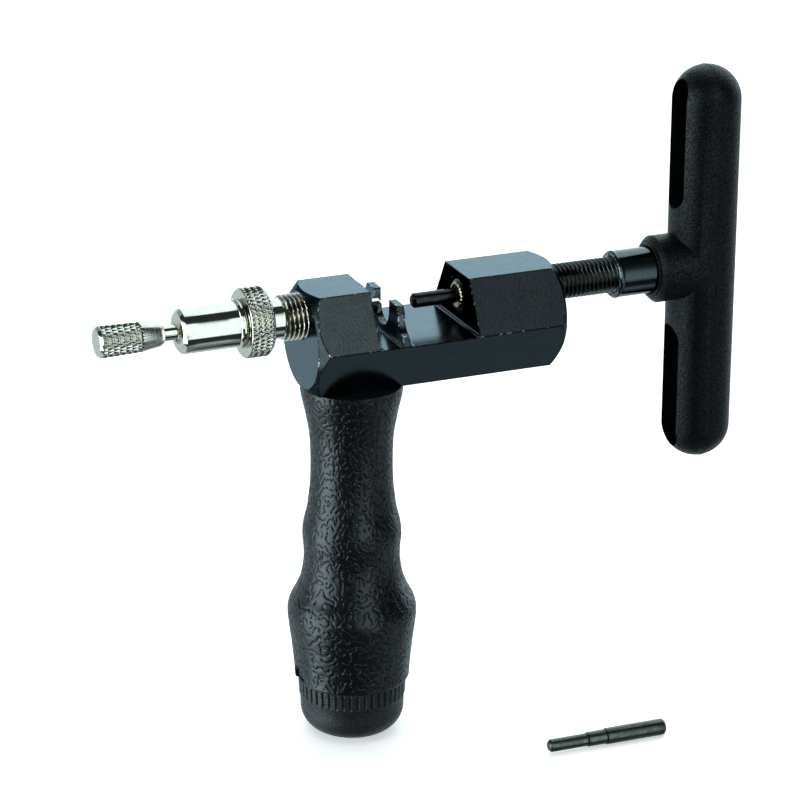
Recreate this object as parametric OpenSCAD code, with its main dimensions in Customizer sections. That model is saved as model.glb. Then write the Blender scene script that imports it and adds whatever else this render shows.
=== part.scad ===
// Chain tool: a hexagonal body that holds a roller chain on a two-pronged tooth plate.
// A screw with a T-handle drives a pin through the chain's rivet from the right.
// A sprung locating rod in a screwed adjuster meets the rivet from the left.
// +X runs along the screw towards the T-handle, +Z is up, and the grip hangs down.
// The origin is where the screw's axis meets the middle of the tooth plate.

/* [Chain seat] */
// Pitch of the chain, which sets how far apart the prongs are
chain_pitch = 12.7; // [12.6:0.1:12.8]
// Width of the notch that a chain roller drops into
notch_w = 8.4; // [8:0.1:8.8]
// Radius of the scallop on each prong's outer edge, round the next roller
scallop_r = 3.6; // [3.4:0.1:3.8]
// Thickness of the tooth plate, which has to enter an inner link
plate_t = 1.6; // [1.4:0.1:1.8]
// Height of the prongs above the screw's axis
prong_top = 2.4; // [2:0.1:3]

/* [Hexagonal body] */
// Size of the bar across its flats
across_flats = 22; // [21.8:0.1:22.4]
// Height of the screw's axis above the cradle's floor, which is the bar's mid-plane
axis_rise = 5.4; // [5.3:0.1:5.5]
// Free width of the cradle left of the tooth plate's middle
gap_left = 5.9; // [5.5:0.1:6.5]
// Free width of the cradle right of the tooth plate's middle
gap_right = 16.5; // [15.5:0.1:17]
// Length of the left block, which carries the adjuster
left_block = 13.2; // [13:0.1:13.5]
// Length of the right block, which carries the drive screw
right_block = 21.2; // [21:0.1:21.5]

/* [Drive screw and handle] */
// Outside diameter of the drive screw's thread
drive_thread_d = 8; // [7.9:0.1:8]
// Pitch of both threads
thread_pitch = 1; // [1:0.25:1.25]
// Diameter of the pin's working end
pin_d = 3.2; // [3:0.1:3.3]
// Distance from the tooth plate's middle to the pin's tip at rest
pin_reach = 6; // [5.5:0.1:7]
// Distance from the tooth plate's middle to the handle's middle
handle_x = 74.8; // [74:0.1:76]
// Length of the T-handle's bar
handle_len = 89.4; // [88:0.1:91]
// Diameter of the T-handle's bar
handle_d = 15; // [14.8:0.1:15.2]

/* [Adjuster] */
// Outside diameter of the adjuster's thread
adjuster_thread_d = 10; // [9.9:0.1:10]
// Diameter of the locating rod
rod_d = 3.2; // [3:0.1:3.2]
// Diameter of the knurled ring
ring_d = 14.8; // [14:0.1:15]
// Diameter of the spring barrel
barrel_d = 9.6; // [9.6:0.1:10]

/* [Grip] */
// Distance from the tooth plate's middle back to the grip's axis
grip_back = 7.6; // [7:0.1:8]
// Height of the moulded grip
grip_h = 67.8; // [66:0.1:70]

/* [Hidden] */
far = 60;                                    // reach of a cutting block, past everything
run = 0.05;                                  // radial running clearance
seat = 0.02;                                 // gap between pieces fastened together
hex_corner_r = across_flats / 2 / cos(30);
body_x0 = -gap_left - left_block;
body_x1 = gap_right + right_block;
floor_z = -axis_rise;
flat_top_z = floor_z + across_flats / 2;
flat_bottom_z = floor_z - across_flats / 2;
end_face_r = 10.5;                           // round face left by the end chamfers
end_angle = 41;                              // of the end chamfers from the end faces
foot_round = 0.9;                            // corner radius at the foot of the walls
thread_depth = 0.55 * thread_pitch;
drive_r = drive_thread_d / 2 - run;
adjuster_r = adjuster_thread_d / 2 - run;

// Drive screw, pin and handle
screw_x0 = 16.8;
screw_x1 = 72.4;
thread_end_x = 52.3;
nut_x0 = 16.2;
nut_x1 = 20;
nut_r = 3;
nut_edge = 0.3;
nut_sink = 0.8;                              // countersink round the pin
pin_r = pin_d / 2;
pin_shank_r = 1.8;
pin_len = 27.5;
pin_nose = 0.8;                              // rounding of the pin's tip
pin_relief = 0.02;                           // the pin is this much thinner inside the nut
ferrule_x0 = thread_end_x + 0.4;
ferrule_x1 = 73;
ferrule_r = 5.1;
ferrule_lip_r = 5.2;
ferrule_lip_w = 0.8;
ferrule_lip_round = 0.3;
boss_x0 = 62.2;
boss_r = 7.35;
boss_rim = 0.9;                              // chamfer round the boss's mouth
handle_r = handle_d / 2;
cross_pin_x = 69;
cross_pin_r = 1.25;
cross_pin_len = 12.4;
slot_w = 7;
slot_inner_z = 13.3;
slot_outer_z = 42;
slot_depth = 10;

// Adjuster, spring barrel, rod and knob
adjuster_x1 = -gap_left - 0.5;
neck_x0 = -26.9;
thread_x0 = -23.9;
ring_x0 = -32.3;
neck_r = 4.25;
ring_r = ring_d / 2;
ring_edge = 0.3;
ring_bevel = 0.9;                            // chamfer of the ring's edge towards the body
socket_x1 = -29.2;
spigot_r = 4;
chamber_r = 3.1;
barrel_x0 = -46.3;
barrel_wall = 1.5;
barrel_r = barrel_d / 2;
barrel_edge = 0.6;
barrel_sink = 0.9;                           // countersink round the rod
bead_r = 5.35;
bead_w = 1.4;
rod_r = rod_d / 2;
rod_x1 = -1.1;
rod_x0 = -60.5;
rod_tip = 0.5;                               // chamfer of the rod's tip
groove_depth = 0.35;
clip_t = 0.6;
clip_r = 2.8;
washer_t = 0.6;
washer_r = 2.9;
spring_wire_r = 0.3;
spring_mean_r = 2.4;
spring_coils = 10;
knob_x0 = -63.8;
knob_x1 = -49.5;
knob_face_r = 2.6;
knob_head_r = 3.4;
knob_waist_r = 3.15;                          // where the knurl ends
knob_neck_r = 2.5;
knob_end_r = 2.1;
knurl_x0 = -62.35;
knurl_x1 = -54.4;

// Grip, its fixing and its end cap
grip_x = -grip_back;
core_r = 7;
core_bore_r = 5.2;
core_wall = 3;
core_h = grip_h - 6.2;                       // leaves room for the end cap's plug
core_spigot_r = 5.5;
core_spigot_h = 1.5;
grip_bottom_z = flat_bottom_z - grip_h;
rim_edge = 0.4;                              // chamfer round the grip's lower rim
notch_r = 1.8;                               // notch for prying the end cap off
notch_depth = 1.3;
bolt_r = 3;
bolt_reach = 6.5;
bolt_point = 0.5;
bolt_head_r = 4.9;
bolt_head_h = 6;
bolt_head_edge = 0.4;
hex_key = 5;
hex_depth = 3;
washer_h = 1;
washer_gap = 0.2;                            // round the bolt and inside the core
lock_washer_h = 1.5;
lock_washer_r = 4.8;
lock_washer_slit = 0.8;
cap_r = 11.8;
cap_rib_h = 4;
cap_ribs = 46;
cap_flute_r = 0.35;
cap_h = 12.5;
cap_dome_lip = 0.4;                          // step in below the ribs
cap_foot_r = 5.8;                            // flat in the middle of the foot
cap_round = 5.5;                             // rounding of the foot
cap_spigot_h = 5.6;
cap_spigot_edge = 0.4;
cap_pocket_r = 4.6;
cap_pocket_depth = 6;
cap_bottom_z = grip_bottom_z - cap_h;

// Loose spare pin, lying beside the tool on the level of the end cap's foot
spare_tip_r = 1.4;
spare_mid_r = 1.6;
spare_shank_r = 1.8;
spare_len = 27.6;
spare_tip_len = 8.9;
spare_mid_len = 4.4;
spare_x = 40;
spare_y = -29.8;
spare_turn = -1.4;
spare_edge = 0.4;
spare_step = 0.3;                            // cone between two diameters

// Points of an arc about a centre, as [across, along]
function arc(centre, r, from, to, steps = 8) =
    [for (i = [0:steps]) let (a = from + (to - from) * i / steps) centre + r * [cos(a), sin(a)]];

// Crests and roots of a thread as [radius, place] pairs, starting and ending on a root
function thread_points(r, from, to) =
    [for (i = [0:round((to - from) / thread_pitch) - 1])
        each [[r - thread_depth, from + i * thread_pitch],
            [r, from + (i + 0.4) * thread_pitch],
            [r, from + (i + 0.6) * thread_pitch]]];

// A piece turned about the screw's axis, from its outline as [radius, x] pairs
module turned(outline) {
    rotate([0, 90, 0]) rotate_extrude() polygon(outline);
}

// A piece turned about the grip's axis, from its outline as [radius, z] pairs
module turned_grip(outline) {
    translate([grip_x, 0, 0]) rotate_extrude() polygon(outline);
}

module rod_along_x(r, x0, x1) {
    translate([x0, 0, 0]) rotate([0, 90, 0]) cylinder(r = r, h = x1 - x0);
}

// A block that spans the whole tool along Y
module slab(x0, x1, z0, z1) {
    translate([x0, -far / 2, z0]) cube([x1 - x0, far, z1 - z0]);
}

// Hexagonal bar with its corners turned off at both ends
module hex_bar() {
    chamfer = (hex_corner_r + 1 - end_face_r) * tan(end_angle);
    translate([0, 0, floor_z]) intersection() {
        translate([body_x0, 0, 0]) rotate([0, 90, 0]) rotate([0, 0, 30])
            cylinder(r = hex_corner_r, h = body_x1 - body_x0, $fn = 6);
        turned([[0, body_x0], [end_face_r, body_x0], [hex_corner_r + 1, body_x0 + chamfer],
            [hex_corner_r + 1, body_x1 - chamfer], [end_face_r, body_x1], [0, body_x1]]);
    }
}

// One milled pocket of the cradle, open at the top, with rounded corners at its floor
module pocket(x0, x1) {
    r = foot_round;
    outline = concat([[x0, far]], arc([x0 + r, floor_z + r], r, 180, 270),
        arc([x1 - r, floor_z + r], r, 270, 360), [[x1, far]]);
    translate([0, far / 2, 0]) rotate([90, 0, 0]) linear_extrude(far) polygon(outline);
}

// What is cut from the wall between the pockets to leave two prongs
module tooth_cuts() {
    slab(-plate_t, plate_t, prong_top, far);
    rod_along_x(notch_w / 2, -plate_t, plate_t);
    translate([-plate_t, -notch_w / 2, 0]) cube([2 * plate_t, notch_w, far]);
    for (side = [-1, 1]) {
        translate([0, side * chain_pitch, 0]) rod_along_x(scallop_r, -plate_t, plate_t);
        translate([-plate_t, side * (chain_pitch + far / 4) - far / 4 - side * scallop_r, 0])
            cube([2 * plate_t, far / 2, far]);
    }
}

module body() {
    color("#25272b") difference() {
        hex_bar();
        pocket(-gap_left, -plate_t / 2);
        pocket(plate_t / 2, gap_right);
        tooth_cuts();
        rod_along_x(adjuster_thread_d / 2, body_x0 - 1, 1 - gap_left);
        rod_along_x(drive_thread_d / 2, gap_right - 1, body_x1 + 1);
        translate([grip_x, 0, flat_bottom_z - 1])
            cylinder(r = core_spigot_r + seat, h = 1 + core_spigot_h + 0.1);
        translate([grip_x, 0, flat_bottom_z]) cylinder(r = bolt_r + seat, h = core_spigot_h + bolt_reach);
    }
}

// Hole through the screw and the ferrule for the cross pin
module cross_hole() {
    translate([cross_pin_x, 0, -far / 2]) cylinder(r = cross_pin_r, h = far);
}

// The nose is bored for the pin's shank and for the nut that keeps the pin in
module drive_screw() {
    root_r = drive_r - thread_depth;
    shank_bore_r = pin_shank_r + run;
    shank_end_x = pin_reach + pin_len + run;
    color("#1d1e20") difference() {
        turned(concat(
            [[nut_r + seat, nut_x1 + seat], [nut_r + seat, screw_x0], [root_r, screw_x0]],
            thread_points(drive_r, screw_x0 + 0.5, thread_end_x),
            [[root_r, thread_end_x], [drive_r, thread_end_x + 0.2], [drive_r, screw_x1], [0, screw_x1],
                [0, shank_end_x], [shank_bore_r, shank_end_x], [shank_bore_r, nut_x1 + seat]]));
        cross_hole();
    }
}

module drive_pin() {
    relief_x = nut_x0 - 0.3;
    relief_r = pin_r - pin_relief;
    color("#17181a") turned(concat([[0, pin_reach]],
        arc([pin_r - pin_nose, pin_reach + pin_nose], pin_nose, -90, 0, 4),
        [[pin_r, relief_x], [relief_r, relief_x + 0.1], [relief_r, nut_x1 + run],
            [pin_shank_r, nut_x1 + run], [pin_shank_r, pin_reach + pin_len], [0, pin_reach + pin_len]]));
}

// Threaded bush in the screw's nose: the pin's shoulder can't pass its hole
module pin_retaining_nut() {
    hole_r = pin_r + run;
    color("#c9b98a") turned([[hole_r, nut_x0 + nut_sink], [hole_r + nut_sink, nut_x0],
        [nut_r - nut_edge, nut_x0], [nut_r, nut_x0 + nut_edge], [nut_r, nut_x1], [hole_r, nut_x1]]);
}

module handle_ferrule() {
    bore_r = drive_r + seat;
    lip = ferrule_lip_round;
    lip_end_x = ferrule_x0 + ferrule_lip_w;
    color("#101113") difference() {
        turned(concat([[bore_r, ferrule_x0]],
            arc([ferrule_lip_r - lip, ferrule_x0 + lip], lip, -90, 0, 4),
            [[ferrule_lip_r, lip_end_x], [ferrule_r, lip_end_x + lip],
                [ferrule_r, ferrule_x1], [bore_r, ferrule_x1]]));
        cross_hole();
    }
}

module handle_cross_pin() {
    color("#8d9094") translate([cross_pin_x, 0, 0]) difference() {
        translate([0, 0, -cross_pin_len / 2]) cylinder(r = cross_pin_r - seat, h = cross_pin_len);
        translate([0, 0, -far / 2]) cylinder(r = cross_pin_r / 2, h = far);
    }
}

// One deep slot in the bar's left face, running away from the boss
module handle_slot() {
    x0 = handle_x - handle_r - 1;
    r = slot_w / 2;
    z0 = slot_inner_z + r;
    z1 = slot_outer_z - r;
    translate([x0, -r, z0]) cube([slot_depth + 1, slot_w, z1 - z0]);
    for (z = [z0, z1]) translate([0, 0, z]) rod_along_x(r, x0, x0 + slot_depth + 1);
}

module t_handle() {
    ball_z = handle_len / 2 - handle_r;
    color("#161719") difference() {
        union() {
            translate([handle_x, 0, -ball_z]) cylinder(r = handle_r, h = 2 * ball_z);
            for (side = [-1, 1]) translate([handle_x, 0, side * ball_z]) sphere(r = handle_r);
            turned([[0, boss_x0], [boss_r - boss_rim, boss_x0], [boss_r, boss_x0 + boss_rim],
                [boss_r, handle_x], [0, handle_x]]);
        }
        rod_along_x(ferrule_r + seat, boss_x0 - 1, ferrule_x1 + seat);
        translate([cross_pin_x, 0, -cross_pin_len / 2 - seat])
            cylinder(r = cross_pin_r, h = cross_pin_len + 2 * seat);
        for (side = [0, 1]) mirror([0, 0, side]) handle_slot();
    }
}

// Hollow M10 screw with a knurled ring, bored through for the locating rod
module adjuster_sleeve() {
    bore_r = rod_r + run;
    color("#c4c6c2") turned(concat(
        [[spigot_r + seat, ring_x0], [ring_r - ring_edge, ring_x0], [ring_r, ring_x0 + ring_edge],
            [ring_r, neck_x0 - ring_bevel], [ring_r - ring_bevel, neck_x0], [neck_r, neck_x0],
            [neck_r, thread_x0]],
        thread_points(adjuster_r, thread_x0 + 0.1, adjuster_x1 - 0.4),
        [[adjuster_r - thread_depth, adjuster_x1], [bore_r, adjuster_x1], [bore_r, socket_x1],
            [spigot_r + seat, socket_x1]]));
}

// Holds the spring, and screws into the knurled ring
module spring_barrel() {
    bore_r = rod_r + run;
    end_x = ring_x0 - seat;
    bead_rise = bead_r - barrel_r;
    wall_x = barrel_x0 + barrel_wall;
    color("#cfd1cd") turned([[bore_r + barrel_sink, barrel_x0], [barrel_r - barrel_edge, barrel_x0],
        [barrel_r, barrel_x0 + barrel_edge], [barrel_r, end_x - bead_w],
        [bead_r, end_x - bead_w + bead_rise / 2], [bead_r, end_x - bead_rise / 2],
        [bead_r - bead_rise / 2, end_x], [spigot_r, end_x], [spigot_r, clip_x1], [chamber_r, clip_x1],
        [chamber_r, wall_x], [bore_r, wall_x], [bore_r, barrel_x0 + barrel_sink]]);
}

clip_x1 = socket_x1 - seat;
washer_x1 = clip_x1 - clip_t - seat;
groove_r = rod_r - groove_depth;

module locating_rod() {
    groove_x0 = clip_x1 - clip_t - seat / 2;
    groove_x1 = clip_x1 + seat / 2;
    color("#d6d7d3") turned([[0, rod_x0], [rod_r, rod_x0], [rod_r, groove_x0], [groove_r, groove_x0],
        [groove_r, groove_x1], [rod_r, groove_x1], [rod_r, rod_x1 - rod_tip],
        [rod_r - rod_tip, rod_x1], [0, rod_x1]]);
}

// Open ring that snaps into the rod's groove and stops it against the adjuster
module rod_clip() {
    color("#55585c") difference() {
        rod_along_x(clip_r, clip_x1 - clip_t, clip_x1);
        rod_along_x(groove_r, clip_x1 - 2 * clip_t, clip_x1 + clip_t);
        translate([clip_x1 - 2 * clip_t, -groove_r, 0]) cube([3 * clip_t, 2 * groove_r, 2 * clip_r]);
    }
}

module spring_washer() {
    bore_r = rod_r + seat;
    color("#9a9c9e") turned([[bore_r, washer_x1 - washer_t], [washer_r, washer_x1 - washer_t],
        [washer_r, washer_x1], [bore_r, washer_x1]]);
}

// Compression spring, drawn as a row of rings joined by a thin spine so that it stays one simple solid
module locating_spring() {
    x0 = barrel_x0 + barrel_wall + 2 * run;
    x1 = washer_x1 - washer_t - 2 * run;
    pitch = (x1 - x0 - 2 * spring_wire_r) / spring_coils;
    color("#aeb1b4") union() {
        for (i = [0:spring_coils])
            translate([x0 + spring_wire_r + i * pitch, 0, 0]) rotate([0, 90, 0]) rotate_extrude()
                translate([spring_mean_r, 0]) circle(r = spring_wire_r);
        translate([x0 + spring_wire_r, -spring_wire_r / 2, spring_mean_r - spring_wire_r / 2])
            cube([spring_coils * pitch, spring_wire_r, spring_wire_r]);
    }
}

module pull_knob() {
    bore_r = rod_r + seat;
    bore_x0 = rod_x0 - seat;
    color("#cfd0cb") turned([[0, knob_x0], [knob_face_r, knob_x0], [knob_head_r, knurl_x0],
        [knob_waist_r, knurl_x1], [knob_neck_r, knob_x1 - 0.5], [knob_end_r, knob_x1],
        [bore_r, knob_x1], [bore_r, bore_x0], [0, bore_x0]]);
}

core_top_z = flat_bottom_z - seat;
core_bottom_z = core_top_z - core_h;

// Steel tube that carries the moulded grip and stands in a recess in the body
module grip_core() {
    hole_r = bolt_r + washer_gap;
    spigot_z = core_top_z + core_spigot_h;
    wall_z = core_top_z - core_wall;
    color("#3a3c3f") turned_grip([[hole_r, spigot_z], [core_spigot_r, spigot_z], [core_spigot_r, core_top_z],
        [core_r, core_top_z], [core_r, core_bottom_z], [core_bore_r, core_bottom_z],
        [core_bore_r, wall_z], [hole_r, wall_z]]);
}

// Smooth curve through the grip's stations, as [radius, height below the body]
grip_stations = [[11, 0], [10.85, 2], [10, 6], [9.1, 11.2], [8.83, 17], [9, 23.2], [9.65, 28.6],
    [10.5, 32.2], [10.7, 34.8], [10.42, 38.2], [10.5, 41], [11.1, 44.6], [12.2, 47.4], [13.45, 49.8],
    [14, 52], [13.8, 55.2], [13.3, 59], [12.7, 65], [12.5, 67.8]];

function between(p0, p1, p2, p3, t) =
    let (slope = (p2 - p0) / 2, bend = p0 - 2.5 * p1 + 2 * p2 - p3 / 2,
        curl = 1.5 * (p1 - p2) + (p3 - p0) / 2)
        p1 + slope * t + bend * t * t + curl * t * t * t;

function grip_curve(steps) =
    let (s = grip_stations, n = len(s))
    [for (i = [0:n - 2], k = [0:steps - 1])
        between(s[max(i - 1, 0)], s[i], s[i + 1], s[min(i + 2, n - 1)], k / steps)];

module grip_sleeve() {
    bore_r = core_r + seat;
    last = grip_stations[len(grip_stations) - 1];
    rim_r = last[0];
    outline = [for (p = grip_curve(3)) [p[0], core_top_z - p[1] * (grip_h - rim_edge) / last[1]]];
    color("#1b1c1e") difference() {
        turned_grip(concat([[bore_r, core_top_z]], outline, [[rim_r, grip_bottom_z + rim_edge],
            [rim_r - rim_edge, grip_bottom_z], [bore_r, grip_bottom_z]]));
        translate([grip_x, 0, grip_bottom_z]) rod_along_x(notch_r, -far / 2, notch_depth - rim_r);
    }
}

bolt_seat_z = core_top_z - core_wall - seat;

module grip_washer() {
    inner = bolt_r + washer_gap;
    outer = core_bore_r - washer_gap;
    color("#85888b") turned_grip([[inner, bolt_seat_z], [outer, bolt_seat_z],
        [outer, bolt_seat_z - washer_h], [inner, bolt_seat_z - washer_h]]);
}

// Split ring, flattened as it is when the bolt is tight
module grip_lock_washer() {
    inner = bolt_r + washer_gap / 2;
    top_z = bolt_seat_z - washer_h - seat;
    bottom_z = top_z - lock_washer_h;
    color("#6d7073") difference() {
        turned_grip([[inner, top_z], [lock_washer_r, top_z], [lock_washer_r, bottom_z], [inner, bottom_z]]);
        translate([grip_x, -lock_washer_slit / 2, bottom_z - 1])
            cube([far, lock_washer_slit, lock_washer_h + 2]);
    }
}

bolt_head_z = bolt_seat_z - washer_h - lock_washer_h - 2 * seat;

module grip_bolt() {
    tip_z = flat_bottom_z + core_spigot_h + bolt_reach - 1;
    face_z = bolt_head_z - bolt_head_h;
    color("#2b2d30") difference() {
        turned_grip([[0, tip_z], [bolt_r - bolt_point, tip_z], [bolt_r, tip_z - bolt_point],
            [bolt_r, bolt_head_z], [bolt_head_r, bolt_head_z], [bolt_head_r, face_z + bolt_head_edge],
            [bolt_head_r - bolt_head_edge, face_z], [0, face_z]]);
        translate([grip_x, 0, face_z - 1]) cylinder(r = hex_key / 2 / cos(30), h = 1 + hex_depth, $fn = 6);
    }
}

// Ribbed pull-off plug that closes the hollow grip, where spare pins are kept
module end_cap() {
    top_z = grip_bottom_z - run;
    dome_z = top_z - cap_rib_h;
    foot = [cap_foot_r, cap_bottom_z + cap_round];
    plug_r = core_r - run;
    plug_z = top_z + cap_spigot_h;
    pocket_z = plug_z - cap_spigot_h - cap_pocket_depth;
    color("#1b1c1e") difference() {
        turned_grip(concat([[cap_pocket_r, plug_z], [plug_r - cap_spigot_edge, plug_z],
            [plug_r, plug_z - cap_spigot_edge], [plug_r, top_z], [cap_r, top_z],
            [cap_r - cap_dome_lip / 2, dome_z], [cap_r - cap_dome_lip, dome_z - cap_dome_lip]],
            arc(foot, cap_round, 0, -90, 12),
            [[0, cap_bottom_z], [0, pocket_z], [cap_pocket_r, pocket_z]]));
        for (i = [0:cap_ribs - 1]) translate([grip_x, 0, dome_z]) rotate([0, 0, i * 360 / cap_ribs])
            translate([cap_r, 0, -1]) cylinder(r = cap_flute_r, h = cap_rib_h + 2);
    }
}

module spare_pin() {
    mid_x = spare_tip_len + spare_mid_len;
    color("#202124") translate([spare_x, spare_y, cap_bottom_z + spare_shank_r])
        rotate([0, 0, spare_turn]) translate([-spare_len / 2, 0, 0])
            turned([[0, 0], [spare_tip_r - spare_edge, 0], [spare_tip_r, spare_edge],
                [spare_tip_r, spare_tip_len], [spare_mid_r, spare_tip_len + spare_step], [spare_mid_r, mid_x],
                [spare_shank_r, mid_x + spare_step], [spare_shank_r, spare_len - spare_edge],
                [spare_shank_r - spare_edge, spare_len], [0, spare_len]]);
}

body();
drive_screw();
drive_pin();
pin_retaining_nut();
handle_ferrule();
t_handle();
handle_cross_pin();
adjuster_sleeve();
spring_barrel();
locating_rod();
rod_clip();
spring_washer();
locating_spring();
pull_knob();
grip_core();
grip_sleeve();
grip_bolt();
grip_lock_washer();
grip_washer();
end_cap();
spare_pin();
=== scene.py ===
"""Looks for the chain tool: every visible piece, its materials, the studio and the camera."""
import math

import bmesh
import bpy
import numpy as np
from mathutils import Matrix, Vector


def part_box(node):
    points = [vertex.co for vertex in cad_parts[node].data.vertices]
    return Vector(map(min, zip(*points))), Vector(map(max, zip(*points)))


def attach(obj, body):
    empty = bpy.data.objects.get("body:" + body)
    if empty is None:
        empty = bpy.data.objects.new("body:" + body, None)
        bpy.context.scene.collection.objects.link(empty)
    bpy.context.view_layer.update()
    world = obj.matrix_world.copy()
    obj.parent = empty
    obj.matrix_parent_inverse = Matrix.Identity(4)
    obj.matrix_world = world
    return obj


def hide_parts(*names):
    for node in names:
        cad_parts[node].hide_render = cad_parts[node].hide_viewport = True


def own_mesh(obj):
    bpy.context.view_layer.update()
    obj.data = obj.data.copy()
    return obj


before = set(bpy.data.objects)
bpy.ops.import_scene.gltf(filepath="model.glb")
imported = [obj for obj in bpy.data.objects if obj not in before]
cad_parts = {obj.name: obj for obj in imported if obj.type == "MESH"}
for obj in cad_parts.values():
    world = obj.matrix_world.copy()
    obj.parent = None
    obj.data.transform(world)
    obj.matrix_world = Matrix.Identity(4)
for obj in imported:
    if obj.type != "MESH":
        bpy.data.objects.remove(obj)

MM = 0.001
TAU = 2 * math.pi
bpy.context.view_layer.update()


# ---------------------------------------------------------------- sizes in millimetres

def node_box(node):
    """The lowest and highest corner of a CAD node, in millimetres."""
    low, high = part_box(node)
    return low / MM, high / MM


body_low, body_high = node_box("body")
screw_low, screw_high = node_box("drive_screw")
pin_low, pin_high = node_box("drive_pin")
nut_low, nut_high = node_box("pin_retaining_nut")
ferrule_low, ferrule_high = node_box("handle_ferrule")
handle_low, handle_high = node_box("t_handle")
sleeve_low, sleeve_high = node_box("adjuster_sleeve")
barrel_low, barrel_high = node_box("spring_barrel")
rod_low, rod_high = node_box("locating_rod")
knob_low, knob_high = node_box("pull_knob")
spring_low, spring_high = node_box("locating_spring")
grip_low, grip_high = node_box("grip_sleeve")
cap_low, cap_high = node_box("end_cap")
spare_low, spare_high = node_box("spare_pin")
core_high = node_box("grip_core")[1]
clip_low, clip_high = node_box("rod_clip")
boss_x0 = handle_low.x

THREAD_PITCH = 1.0
THREAD_DEPTH = 0.55
KNURL_PITCH = 2.65             # of the ring and of the knob, along the axis
SEAT = 0.02                    # gap between pieces fastened together
RUN = 0.05                     # running clearance
PIN_R = 1.6                    # the pin's working end
ROD_HOLE_R = 1.66              # holes that the rod or the pin runs through
FERRULE_R = 5.1
ADJUSTER_THREAD_R = 4.95
NECK_R = 4.25
RING_X1 = -26.9                # the knurled ring's end towards the body
THREAD_X0 = -23.9              # where the adjuster's thread starts
SPIGOT_R = 4.0                 # the barrel's end that screws into the ring
GRIP_X = (grip_low.x + grip_high.x) / 2


# ---------------------------------------------------------------- noise

def wave_noise(u, v, cells_u, seed):
    """Gradient noise about -0.7 to 0.7, which repeats every cells_u along u."""
    rng = np.random.default_rng(seed)
    rows = int(np.floor(v.max() - v.min())) + 4
    angle = rng.random((cells_u, rows)) * TAU
    v = v - v.min() + 1
    iu, iv = np.floor(u).astype(int), np.floor(v).astype(int)
    fu, fv = u - iu, v - iv
    su, sv = (f * f * f * (f * (f * 6 - 15) + 10) for f in (fu, fv))

    def corner(du, dv):
        a = angle[(iu + du) % cells_u, iv + dv]
        return np.cos(a) * (fu - du) + np.sin(a) * (fv - dv)

    near = corner(0, 0) * (1 - su) + corner(1, 0) * su
    far = corner(0, 1) * (1 - su) + corner(1, 1) * su
    return near * (1 - sv) + far * sv


def ramp(x, low, high):
    """0 below low, 1 above high, smooth between."""
    t = np.clip((x - low) / (high - low), 0, 1)
    return t * t * (3 - 2 * t)


# ---------------------------------------------------------------- outlines and lathes

def rounded(points, radius, steps=3, skip=()):
    """The outline with each corner rounded, except those named by index in skip and the two ends."""
    out = [np.array(points[0], float)]
    for i in range(1, len(points) - 1):
        before, here, after = (np.array(points[k], float) for k in (i - 1, i, i + 1))
        a, b = before - here, after - here
        la, lb = np.linalg.norm(a), np.linalg.norm(b)
        turn = math.acos(np.clip(np.dot(a, b) / (la * lb), -1, 1))
        if i in skip or turn > 3.0:
            out.append(here)
            continue
        cut = min(radius / math.tan(turn / 2), 0.45 * la, 0.45 * lb)
        start, end = here + a / la * cut, here + b / lb * cut
        for k in range(steps + 1):
            t = k / steps
            out.append((1 - t) ** 2 * start + 2 * t * (1 - t) * here + t * t * end)
    out.append(np.array(points[-1], float))
    return out


def refined(points, step):
    """The outline with every stretch split into pieces no longer than step."""
    out = [np.array(points[0], float)]
    for here, after in zip(points[:-1], points[1:]):
        here, after = np.array(here, float), np.array(after, float)
        parts = max(1, math.ceil(np.linalg.norm(after - here) / step - 1e-6))
        out += [here + (after - here) * k / parts for k in range(1, parts + 1)]
    return out


def lathe(outline, segments=96, closed=False, shape=None):
    """Vertices and faces of an outline of (radius, place) turned about the X axis.
    shape(angle, place, radius) may change the radius. A closed outline makes a tube."""
    outline = np.array(outline, float)
    angle = np.arange(segments) / segments * TAU
    verts, faces, rings = [], [], []
    for radius, place in outline:
        if radius < 1e-6:
            rings.append([len(verts)])
            verts.append((place, 0, 0))
            continue
        r = np.full(segments, radius)
        if shape is not None:
            r = shape(angle, place, r)
        rings.append(list(range(len(verts), len(verts) + segments)))
        verts += list(zip(np.full(segments, place), r * np.cos(angle), r * np.sin(angle)))
    pairs = list(zip(rings[:-1], rings[1:]))
    if closed:
        pairs.append((rings[-1], rings[0]))
    for a, b in pairs:
        for i in range(segments):
            j = (i + 1) % segments
            if len(a) == 1 and len(b) > 1:
                faces.append((a[0], b[j], b[i]))
            elif len(b) == 1 and len(a) > 1:
                faces.append((a[i], a[j], b[0]))
            elif len(a) > 1:
                faces.append((a[i], a[j], b[j], b[i]))
    return np.array(verts), faces


def upright(verts):
    """Turns vertices made about X, so that they stand about the grip's axis."""
    x, y, z = verts.T
    return np.stack([GRIP_X + y, z, x], 1)


def knurl(angle, place, around, pitch, flat=1.5):
    """Height from 0 to 1 of a diamond knurl with flattened tips."""
    turns = angle * around / TAU
    along = place / pitch
    ridge_a, ridge_b = (1 - np.abs(2 * np.mod(t, 1) - 1) for t in (turns + along, turns - along))
    return np.clip(np.minimum(ridge_a, ridge_b) * flat, 0, 1)


def thread(angle, place, flat=1.25):
    """Height from 0 to 1 of a right-hand thread with slightly flattened crests and roots."""
    phase = np.mod(place / THREAD_PITCH - angle / TAU, 1)
    ridge = 1 - np.abs(2 * phase - 1)
    return np.clip((ridge - 0.5) * flat + 0.5, 0, 1)


# ---------------------------------------------------------------- pieces

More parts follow.
